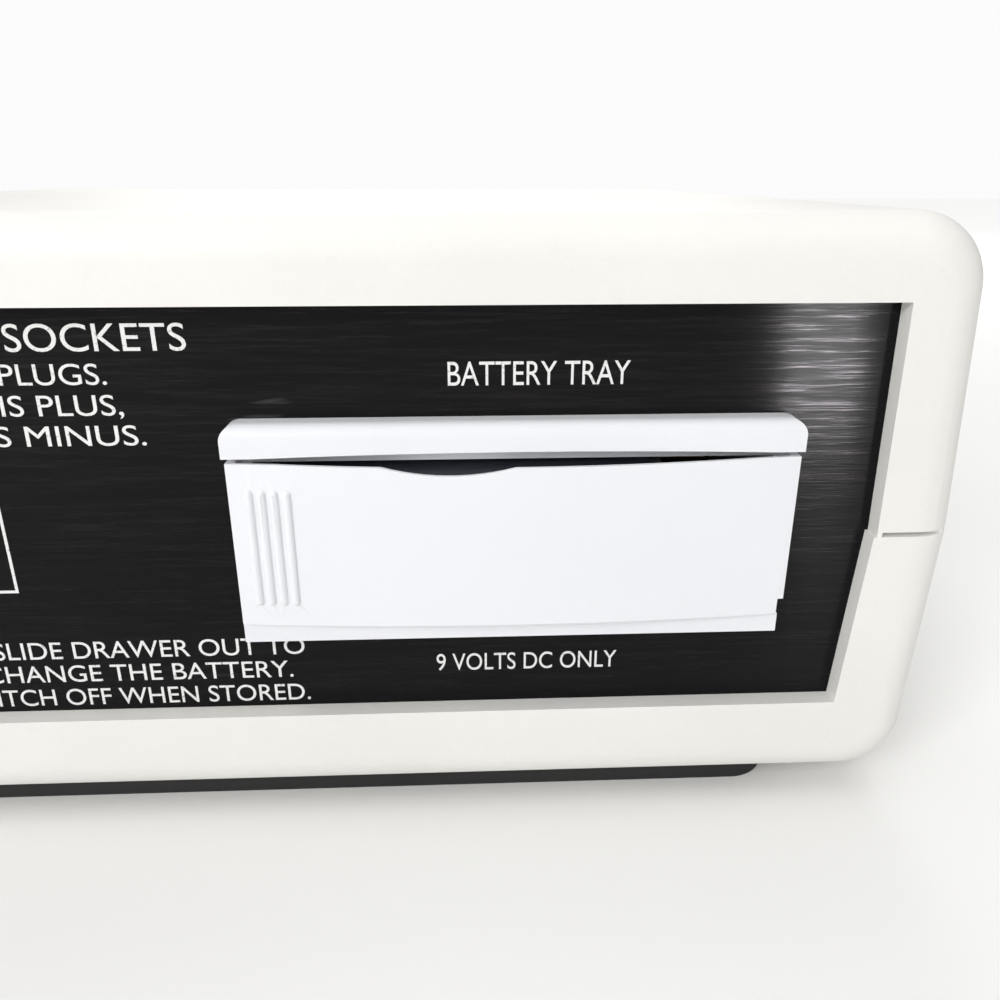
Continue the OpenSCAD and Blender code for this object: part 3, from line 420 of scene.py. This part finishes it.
def ribbon_material():
    """Flat cable: a row of grey insulated wires."""
    material, tree, shader = blank("Ribbon cable")
    where = add(tree, "ShaderNodeTexCoord").outputs["Object"]
    wires = add(
        tree, "ShaderNodeTexWave", {"Vector": where, "Scale": 250.0}, bands_direction="X"
    ).outputs["Fac"]
    colour = mix_colour(tree, wires, rgb(0.2, 0.2, 0.21), rgb(0.42, 0.42, 0.44))
    tree.links.new(colour, shader.inputs["Base Color"])
    tree.links.new(math_node(tree, "MULTIPLY_ADD", wires, 0.1, 0.4), shader.inputs["Roughness"])
    bump(tree, shader, wires, 0.0002)
    return material


def ink_material(name, colour):
    """Screen-printed ink: matt, with tiny pinholes."""
    material, tree, shader = blank(name)
    where = add(tree, "ShaderNodeTexCoord").outputs["Object"]
    specks = ramp(tree, noise(tree, where, 2600.0, 3.0, 0.6), 0.3, 0.42)
    tree.links.new(mix_colour(tree, specks, shade(colour, 0.55), colour), shader.inputs["Base Color"])
    tree.links.new(math_node(tree, "MULTIPLY_ADD", specks, 0.1, 0.5), shader.inputs["Roughness"])
    return material


MATERIALS = {
    "shell_plastic": shell_material(),
    "drawer_plastic": drawer_material(),
    "panel_black": panel_material(),
    "foot_rubber": rubber_material(),
    "steel": metal("Nickel plate", rgb(0.52, 0.51, 0.495), roughness=0.22),
    "screw_steel": metal("Zinc plate", rgb(0.5, 0.5, 0.52), roughness=0.36, wear=0.4),
    "brass": metal("Brass", rgb(0.72, 0.52, 0.22), roughness=0.28),
    "knob_plastic": plastic("Satin black knob", rgb(0.022, 0.022, 0.023), 0.42, 3400.0, 0.00001, 0.5,
                            worn=rgb(0.07, 0.07, 0.07), clouds=0.2),
    "knob_metal": spun_material(),
    "black_plastic": plastic("Black nylon", rgb(0.02, 0.02, 0.021), 0.4, 3000.0, 0.000012, 0.4,
                             worn=rgb(0.06, 0.06, 0.06), clouds=0.2),
    "red_plastic": plastic("Red nylon", rgb(0.52, 0.028, 0.018), 0.34, 3000.0, 0.00001, 0.35,
                           worn=rgb(0.66, 0.1, 0.07), clouds=0.12),
    "battery_print": plastic("Battery film", rgb(0.03, 0.034, 0.045), 0.25, 4000.0, 0.000004, 0.3,
                             worn=rgb(0.2, 0.2, 0.22), clouds=0.1),
    "battery_ends": plastic("Pressed fibre", rgb(0.07, 0.065, 0.06), 0.7, 1500.0, 0.00004, 0.2, clouds=0.2),
    "lamp_green": lamp_material("Green lamp resin", rgb(0.08, 0.62, 0.12), 0.35),
    "lamp_red": lamp_material("Red lamp resin", rgb(0.75, 0.04, 0.02), 0.2),
    "board_laminate": board_material(),
    "ribbon_grey": ribbon_material(),
    "core_iron": laminated_material(),
    "coil_copper": winding_material(),
    "capacitor_sleeve": plastic("Capacitor sleeve", rgb(0.02, 0.04, 0.16), 0.25, 4000.0, 0.000004, 0.2),
    "chip_resin": plastic("Chip resin", rgb(0.02, 0.02, 0.02), 0.55, 3600.0, 0.00002, 0.2, clouds=0.15),
    "resistor_body": plastic("Dipped resistor", rgb(0.5, 0.37, 0.2), 0.35, 2600.0, 0.00002, 0.2, clouds=0.15),
    "header_nylon": plastic("Natural nylon", rgb(0.72, 0.7, 0.6), 0.4, 2600.0, 0.00001, 0.2),
    "wire_red": plastic("Red wire", rgb(0.5, 0.02, 0.015), 0.3, 3000.0, 0.000006, 0.1),
    "wire_black": plastic("Black wire", rgb(0.02, 0.02, 0.02), 0.3, 3000.0, 0.000006, 0.1),
}
WHITE_INK = ink_material("White panel ink", rgb(0.78, 0.78, 0.77))
GREY_INK = ink_material("Grey label ink", rgb(0.42, 0.43, 0.45))
AMBER_INK = ink_material("Amber label ink", rgb(0.75, 0.36, 0.05))


# ---------------------------------------------------------------- CAD nodes


EDGE_RADIUS = {
    "shell_plastic": 0.4,
    "drawer_plastic": 0.22,
    "panel_black": 0.06,
    "foot_rubber": 0.4,
    "knob_plastic": 0.12,
    "red_plastic": 0.2,
    "black_plastic": 0.15,
    "header_nylon": 0.15,
    "chip_resin": 0.12,
}
OTHER_EDGE_RADIUS = 0.08
SHARP_ANGLE = math.radians(32)


def soften(node, radius):
    """Rounds a node's edges and evens out its shading, with modifiers only."""
    weld = node.modifiers.new("Weld", "WELD")
    weld.merge_threshold = 0.000002
    bevel = node.modifiers.new("Edge radius", "BEVEL")
    bevel.width = radius * MM
    bevel.segments = 2
    bevel.limit_method = "ANGLE"
    bevel.angle_limit = SHARP_ANGLE
    bevel.use_clamp_overlap = True
    bevel.harden_normals = False
    even = node.modifiers.new("Even shading", "WEIGHTED_NORMAL")
    even.keep_sharp = False
    even.weight = 80


def dress_nodes():
    slots = {row["node"]: row["material_slot"] for row in frame["record"]["subparts"]}
    for name, node in frame["nodes"].items():
        slot = slots[name]
        node.data.materials.clear()
        node.data.materials.append(MATERIALS[slot])
        soften(node, EDGE_RADIUS.get(slot, OTHER_EDGE_RADIUS))


dress_nodes()


# ---------------------------------------------------------------- ink on the panels

# A panel's own frame: u to the right, v up, w outward, seen from in front of that panel.
REAR = Matrix(((-1, 0, 0, 0), (0, 0, 1, REAR_FACE), (0, 1, 0, 0), (0, 0, 0, 1)))
FRONT = Matrix(((1, 0, 0, 0), (0, 0, -1, FRONT_FACE), (0, 1, 0, 0), (0, 0, 0, 1)))
INK_LIFT = 0.01 * MM
INK_DEPTH = 0.05 * MM


def piece(name, mesh, material, body):
    obj = bpy.data.objects.new(name, mesh)
    bpy.context.scene.collection.objects.link(obj)
    mesh.materials.clear()
    mesh.materials.append(material)
    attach(obj, body)
    return obj


def letters(words, height, width=None):
    """A mesh of the words, lying in XY from the origin, with capitals of this height and this whole width."""
    curve = bpy.data.curves.new("letters", "FONT")
    curve.body = words
    curve.size = 1.0
    curve.extrude = 0.0
    curve.resolution_u = 6
    holder = bpy.data.objects.new("letters", curve)
    bpy.context.scene.collection.objects.link(holder)
    bpy.context.view_layer.update()
    flat = bpy.data.meshes.new_from_object(holder.evaluated_get(bpy.context.evaluated_depsgraph_get()))
    bpy.data.objects.remove(holder)
    bpy.data.curves.remove(curve)
    xs = [v.co.x for v in flat.vertices]
    ys = [v.co.y for v in flat.vertices]
    scale_y = height / max(ys)
    scale_x = width / (max(xs) - min(xs)) if width else scale_y
    flat.transform(Matrix.Diagonal((scale_x, scale_y, 1, 1)) @ Matrix.Translation((-min(xs), 0, 0)))
    return flat, scale_x * (max(xs) - min(xs))


class Ink:
    """Collects flat shapes in a panel's frame and makes one thin solid of them."""

    def __init__(self):
        self.mesh = bmesh.new()

    def shape(self, points):
        corners = [self.mesh.verts.new((u, v, 0)) for u, v in points]
        self.mesh.faces.new(corners)

    def bar(self, u0, u1, v0, v1):
        self.shape([(u0, v0), (u1, v0), (u1, v1), (u0, v1)])

    def outline(self, u0, u1, v0, v1, line):
        self.bar(u0, u1, v0, v0 + line)
        self.bar(u0, u1, v1 - line, v1)
        self.bar(u0, u0 + line, v0 + line, v1 - line)
        self.bar(u1 - line, u1, v0 + line, v1 - line)

    def words(self, words, u, v, height, width=None, anchor=0.0):
        """anchor is where u lies along the words: 0 at their left end, 0.5 in the middle, 1 at the right."""
        flat, length = letters(words, height, width)
        flat.transform(Matrix.Translation((u - anchor * length, v, 0)))
        self.mesh.from_mesh(flat)
        bpy.data.meshes.remove(flat)

    def tick(self, centre, angle, inner, outer, line):
        """A radial mark; angle is clockwise from straight up, in degrees."""
        out = Vector((math.sin(math.radians(angle)), math.cos(math.radians(angle))))
        side = Vector((out.y, -out.x)) * line / 2
        ends = [centre + out * inner, centre + out * outer]
        self.shape([ends[0] - side, ends[1] - side, ends[1] + side, ends[0] + side])

    def finish(self, name, place, body="case", material=None, depth=INK_DEPTH):
        made = bmesh.ops.extrude_face_region(self.mesh, geom=self.mesh.faces[:])
        raised = [v for v in made["geom"] if isinstance(v, bmesh.types.BMVert)]
        bmesh.ops.translate(self.mesh, verts=raised, vec=(0, 0, depth))
        lifted = place @ Matrix.Translation((0, 0, INK_LIFT))
        bmesh.ops.transform(self.mesh, matrix=lifted, verts=self.mesh.verts)
        bmesh.ops.recalc_face_normals(self.mesh, faces=self.mesh.faces)
        mesh = bpy.data.meshes.new(name)
        self.mesh.to_mesh(mesh)
        self.mesh.free()
        return piece(name, mesh, material or WHITE_INK, body)


def rear_lettering():
    """Generic words in the places of the rear panel's print. u counts from the middle of the case."""
    drawer_u = -DRAWER_X
    ink = Ink()
    ink.words("BATTERY TRAY", drawer_u - 7.6 * MM, 57.4 * MM, 2.7 * MM, 20.5 * MM)
    ink.words("9 VOLTS DC ONLY", drawer_u - 9.8 * MM, 20.5 * MM, 2.4 * MM, 22.9 * MM)
    ink.words("ELECTRODE SOCKETS", drawer_u - 35.9 * MM, 61.6 * MM, 3.0 * MM, 46.0 * MM, anchor=1)
    for words, right, low, width in (
        ("TAKES 4 MM PLUGS.", -45.0, 57.9, 34.0),
        ("RED IS PLUS,", -43.7, 54.4, 22.0),
        ("BLACK IS MINUS.", -41.7, 50.9, 32.0),
        ("SLIDE DRAWER OUT TO", -26.2, 23.4, 38.0),
        ("CHANGE THE BATTERY.", -27.9, 20.1, 38.0),
        ("SWITCH OFF WHEN STORED.", -26.0, 16.7, 44.0),
    ):
        ink.words(words, drawer_u + right * MM, low * MM, 2.35 * MM, width * MM, anchor=1)
    ink.finish("rear_panel_lettering", REAR)


def socket_border():
    """The thin border round the two output sockets, with a mark for each."""
    red = middle("output_jack_red")
    black = middle("output_jack_black")
    centre = -(red.x + black.x) / 2
    ink = Ink()
    ink.outline(centre - 20.3 * MM, centre + 20.3 * MM, 32.6 * MM, 49.6 * MM, 0.35 * MM)
    ink.words("+", -red.x + 8.3 * MM, 40.2 * MM, 2.0 * MM, anchor=0)
    ink.words("-", -black.x - 8.3 * MM, 40.9 * MM, 0.5 * MM, 1.6 * MM, anchor=1)
    ink.finish("output_border", REAR)


def dial(name, node, marks, inner, long_tick, numerals, numeral_radius, numeral_height):
    """A scale round a knob, over 300 degrees."""
    sweep = 300.0
    knob = middle(node)
    centre = Vector((knob.x, knob.z))
    ink = Ink()
    for i in range(marks):
        angle = -sweep / 2 + sweep * i / (marks - 1)
        whole = i % 2 == 0
        ink.tick(centre, angle, inner * MM, (inner + (long_tick if whole else long_tick * 0.6)) * MM,
                 (0.35 if whole else 0.22) * MM)
    for share, words in numerals:
        angle = math.radians(-sweep / 2 + sweep * share)
        spot = centre + Vector((math.sin(angle), math.cos(angle))) * numeral_radius * MM
        ink.words(words, spot.x, spot.y - numeral_height / 2 * MM, numeral_height * MM, anchor=0.5)
    ink.finish(name, FRONT)


def front_lettering():
    ink = Ink()
    for words, node, low in (
        ("INTENSITY", "intensity_knob", 62.7),
        ("RATE", "rate_knob", 57.8),
        ("WIDTH", "width_knob", 57.8),
        ("PULSE", "pulse_led", 59.8),
        ("ON", "power_led", 59.8),
        ("POWER", "power_switch_body", 54.0),
        ("SINGLE", "pulse_button_body", 23.5),
        ("BURST", "mode_switch_nut", 41.2),
        ("CONT.", "mode_switch_nut", 23.5),
    ):
        ink.words(words, middle(node).x, low * MM, 2.0 * MM, anchor=0.5)
    ink.finish("front_panel_lettering", FRONT)


rear_lettering()
socket_border()
dial("intensity_scale", "intensity_knob", 21, 15.9, 1.5, [(i / 10, str(i)) for i in range(11)], 19.3, 1.8)
dial("rate_scale", "rate_knob", 11, 10.7, 1.2, [(0, "1"), (0.5, "50"), (1, "100")], 13.9, 1.6)
dial("width_scale", "width_knob", 11, 10.7, 1.2, [(0, "50"), (0.5, "150"), (1, "250")], 13.9, 1.6)
front_lettering()


# ---------------------------------------------------------------- pointers and labels


def pointer(name, node, body, angle):
    """A raised white line on a knob's top, from the metal cap to the edge. angle is clockwise from up."""
    low, high = span(node)
    centre = Vector((middle(node).x, middle(node).z))
    radius = (high.x - low.x) / 2
    cap_low, cap_high = span(node + "_cap")
    cap_radius = (cap_high.x - cap_low.x) / 2
    ink = Ink()
    ink.tick(centre, angle, cap_radius + 0.25 * MM, radius - 3.9 * MM, 0.8 * MM)
    top = Matrix.Translation((0, low.y - FRONT_FACE, 0)) @ FRONT
    ink.finish(name, top, body=body, depth=0.08 * MM)


pointer("intensity_pointer", "intensity_knob", "intensity_control", -150)
pointer("rate_pointer", "rate_knob", "rate_control", 0)
pointer("width_pointer", "width_knob", "width_control", 0)


def battery_label():
    """Print on the side of the battery that faces up, read from behind the case. It stays off the edges."""
    low, high = span("battery_jacket")
    left, length = -high.x, high.x - low.x
    near, far = -high.y + 6 * MM, -low.y - 3 * MM
    height = 6 * MM
    upward = Matrix(((-1, 0, 0, 0), (0, -1, 0, 0), (0, 0, 1, high.z), (0, 0, 0, 1)))
    for name, material, first, last in (
        ("battery_label_amber", AMBER_INK, 0.04, 0.40),
        ("battery_label_grey", GREY_INK, 0.43, 0.45),
    ):
        ink = Ink()
        ink.bar(left + first * length, left + last * length, near, far)
        ink.finish(name, upward, body="battery_drawer", material=material)
    ink = Ink()
    ink.words("9V", left + 0.7 * length, (near + far - height) / 2, height, anchor=0.5)
    ink.finish("battery_label_voltage", upward, body="battery_drawer")


battery_label()


# ---------------------------------------------------------------- floor, lights and camera


FLOOR_REACH = 3.0
FAR_FLOOR_GLOW = 0.45


def floor():
    """A pale floor. Far from the lamps it glows, so that it stays as pale as the sky behind it."""
    mesh = bpy.data.meshes.new("floor")
    reach = FLOOR_REACH
    corners = [(-reach, -reach, 0), (reach, -reach, 0), (reach, reach, 0), (-reach, reach, 0)]
    mesh.from_pydata(corners, [], [(0, 1, 2, 3)])
    material, tree, shader = blank("Pale floor", Roughness=0.7, Emission_Strength=FAR_FLOOR_GLOW)
    where = add(tree, "ShaderNodeTexCoord").outputs["Object"]
    clouds = noise(tree, where, 3.0)
    distance = add(tree, "ShaderNodeVectorMath", {0: where}, operation="LENGTH").outputs["Value"]
    far = mix_colour(tree, ramp(tree, distance, 0.2, 1.0), rgb(0, 0, 0), rgb(1, 1, 1))
    tree.links.new(far, shader.inputs["Emission Color"])
    pale = mix_colour(tree, clouds, rgb(0.86, 0.855, 0.84), rgb(0.9, 0.897, 0.885))
    tree.links.new(pale, shader.inputs["Base Color"])
    mesh.materials.append(material)
    obj = bpy.data.objects.new("floor", mesh)
    bpy.context.scene.collection.objects.link(obj)


def area_light(name, place, target, size, power):
    """A soft white lamp in watts, which the camera doesn't see."""
    lamp = bpy.data.lights.new(name, "AREA")
    lamp.shape = "RECTANGLE"
    lamp.size, lamp.size_y = size
    lamp.energy = power
    obj = bpy.data.objects.new(name, lamp)
    obj.location = place
    obj.rotation_euler = (Vector(target) - Vector(place)).to_track_quat("-Z", "Y").to_euler()
    obj.visible_camera = False
    bpy.context.scene.collection.objects.link(obj)
    return obj


SKY_SEEN = 0.97  # as the camera sees it
SKY_LIGHT = 0.56  # as it lights the object
SKY_LOW = 0.16  # share of that light left at the horizon, in gloss


def world():
    """White to the eye. In gloss it is a studio: bright above and dim towards the horizon."""
    sky = bpy.data.worlds.new("Studio")
    bpy.context.scene.world = sky
    sky.use_nodes = True
    tree = sky.node_tree
    background = tree.nodes["Background"]
    background.inputs["Color"].default_value = (1.0, 1.0, 1.0, 1.0)
    ray = add(tree, "ShaderNodeLightPath").outputs
    way = add(tree, "ShaderNodeTexCoord").outputs["Generated"]
    height = add(tree, "ShaderNodeSeparateXYZ", {0: way}).outputs["Z"]
    dimmed = math_node(tree, "MULTIPLY_ADD", ramp(tree, height, 0.0, 0.8), 1.0 - SKY_LOW, SKY_LOW - 1.0)
    in_gloss = math_node(tree, "MULTIPLY", ray["Is Glossy Ray"], dimmed)
    light = math_node(tree, "MULTIPLY_ADD", in_gloss, SKY_LIGHT, SKY_LIGHT)
    extra = math_node(tree, "SUBTRACT", SKY_SEEN, light)
    strength = math_node(tree, "MULTIPLY_ADD", ray["Is Camera Ray"], extra, light)
    tree.links.new(strength, background.inputs["Strength"])


CAMERA_ASIDE = 5.8 * MM
CAMERA_DISTANCE = 93.7 * MM
CAMERA_HEIGHT = 79.4 * MM
CAMERA_PITCH = math.radians(20.9)
CAMERA_YAW = math.radians(2.47)


def camera():
    """Close to the battery drawer, looking down at it."""
    lens = bpy.data.cameras.new("camera")
    lens.sensor_width = 36.0
    lens.lens = 30.6
    lens.clip_start = 0.005
    obj = bpy.data.objects.new("camera", lens)
    obj.location = (DRAWER_X + CAMERA_ASIDE, REAR_FACE + CAMERA_DISTANCE, CAMERA_HEIGHT)
    pitch, yaw = CAMERA_PITCH, CAMERA_YAW
    ahead = Vector((-math.sin(yaw) * math.cos(pitch), -math.cos(yaw) * math.cos(pitch), -math.sin(pitch)))
    obj.rotation_euler = ahead.to_track_quat("-Z", "Y").to_euler()
    bpy.context.scene.collection.objects.link(obj)
    bpy.context.scene.camera = obj


STRIP_ASIDE = 86.6 * MM
STRIP_DISTANCE = 120 * MM
STRIP_HEIGHT = 41 * MM


def panel_strip():
    """A narrow lamp beside the battery drawer, which only the brushed rear panel mirrors."""
    place = Vector((DRAWER_X - STRIP_ASIDE, REAR_FACE + STRIP_DISTANCE, STRIP_HEIGHT))
    target = Vector((place.x, REAR_FACE, place.z))
    strip = area_light("panel strip", place, target, (20 * MM, 26 * MM), 0.105)
    strip.visible_diffuse = False
    lit_by_strip = bpy.data.collections.new("lit by the strip")
    lit_by_strip.objects.link(frame["nodes"]["rear_panel"])
    strip.light_linking.receiver_collection = lit_by_strip


floor()
world()
area_light("key", (0.52, 0.74, 0.5), (0, 0.05, 0.03), (0.35, 0.35), 4.7)
area_light("overhead", (0.0, 0.1, 0.9), (0, 0.0, 0.03), (0.9, 0.9), 2.7)
area_light("front fill", (0.0, -0.8, 0.6), (0, 0, 0.04), (0.8, 0.6), 3.4)
panel_strip()
camera()

scene = bpy.context.scene
scene.view_settings.view_transform = "Standard"
scene.view_settings.look = "None"
